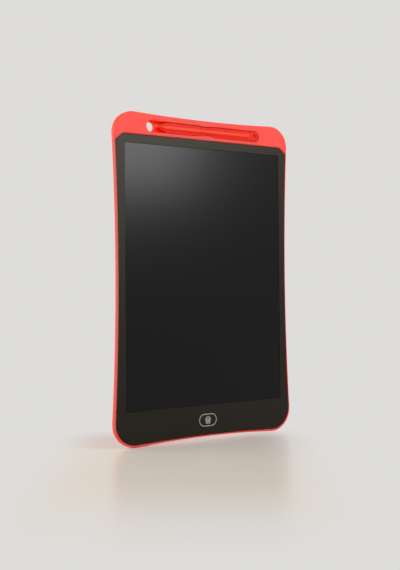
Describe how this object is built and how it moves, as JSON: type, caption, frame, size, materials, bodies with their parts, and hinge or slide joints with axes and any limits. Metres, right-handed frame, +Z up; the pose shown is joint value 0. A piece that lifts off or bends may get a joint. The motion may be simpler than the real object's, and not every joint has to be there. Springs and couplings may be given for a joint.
{
  "type": "lcd writing tablet",
  "caption": "Slim writing tablet with bowed-in sides, dark film in a chamfered bezel, erase button, lock slider, battery door and a stylus snapped into a top trough.",
  "frame": {"origin": "under the middle of the tablet, at the lowest point of its short edge, half-way through its thickness with the stylus in place", "axes": "+Z up along the long side towards the stylus, +X to the right seen from the front, +Y out of the back; the writing film faces -Y"},
  "size_m": [0.1678, 0.0066, 0.255],
  "materials": {
    "shell": "satin moulded",
    "stylus": "smooth moulded",
    "bezel": "fine texture",
    "film": "semi-gloss film",
    "backing": "plain sheet",
    "foam": "open foam",
    "tape": "adhesive tape",
    "ring": "printed",
    "copper": "bare foil",
    "board": "solder resist",
    "black_parts": "moulded",
    "ferrite": "pressed",
    "capacitor": "fired",
    "nickel": "nickel plated",
    "screws": "plain"
  },
  "bodies": {
    "tablet": {"rear_shell": "shell", "front_bezel": "bezel", "bezel_tape": "tape", "film_tape": "tape", "writing_film": "film", "film_backing": "backing", "foam_pad": "foam", "film_contact_left": "copper", "film_contact_right": "copper", "circuit_board": "board", "driver_chip": "black_parts", "boost_inductor": "ferrite", "storage_capacitor": "capacitor", "erase_switch_body": "nickel", "coin_cell": "nickel", "battery_contact_positive": "nickel", "battery_contact_negative": "nickel", "board_screw_left": "screws", "board_screw_right": "screws", "lock_switch_body": "nickel"},
    "erase_button": {"erase_button": "bezel", "erase_button_ring": "ring", "erase_switch_plunger": "black_parts"},
    "lock_slider": {"lock_slider": "black_parts", "lock_switch_lever": "black_parts"},
    "battery_door": {"battery_door": "shell", "battery_door_screw": "screws"},
    "stylus": {"stylus": "stylus"}
  },
  "joints": [
    {"name": "erase_press", "type": "slide", "parent": "tablet", "child": "erase_button", "axis": [0, 1, 0], "range_m": [0, 0.0004], "stiffness_N_per_m": 1000},
    {"name": "lock_slide", "type": "slide", "parent": "tablet", "child": "lock_slider", "axis": [1, 0, 0], "range_m": [0, 0.0025]},
    {"name": "door_lift", "type": "slide", "parent": "tablet", "child": "battery_door", "axis": [0, 1, 0], "range_m": [0, 0.012]},
    {"name": "stylus_lift", "type": "slide", "parent": "tablet", "child": "stylus", "axis": [0, -1, 0], "range_m": [0, 0.02]}
  ]
}
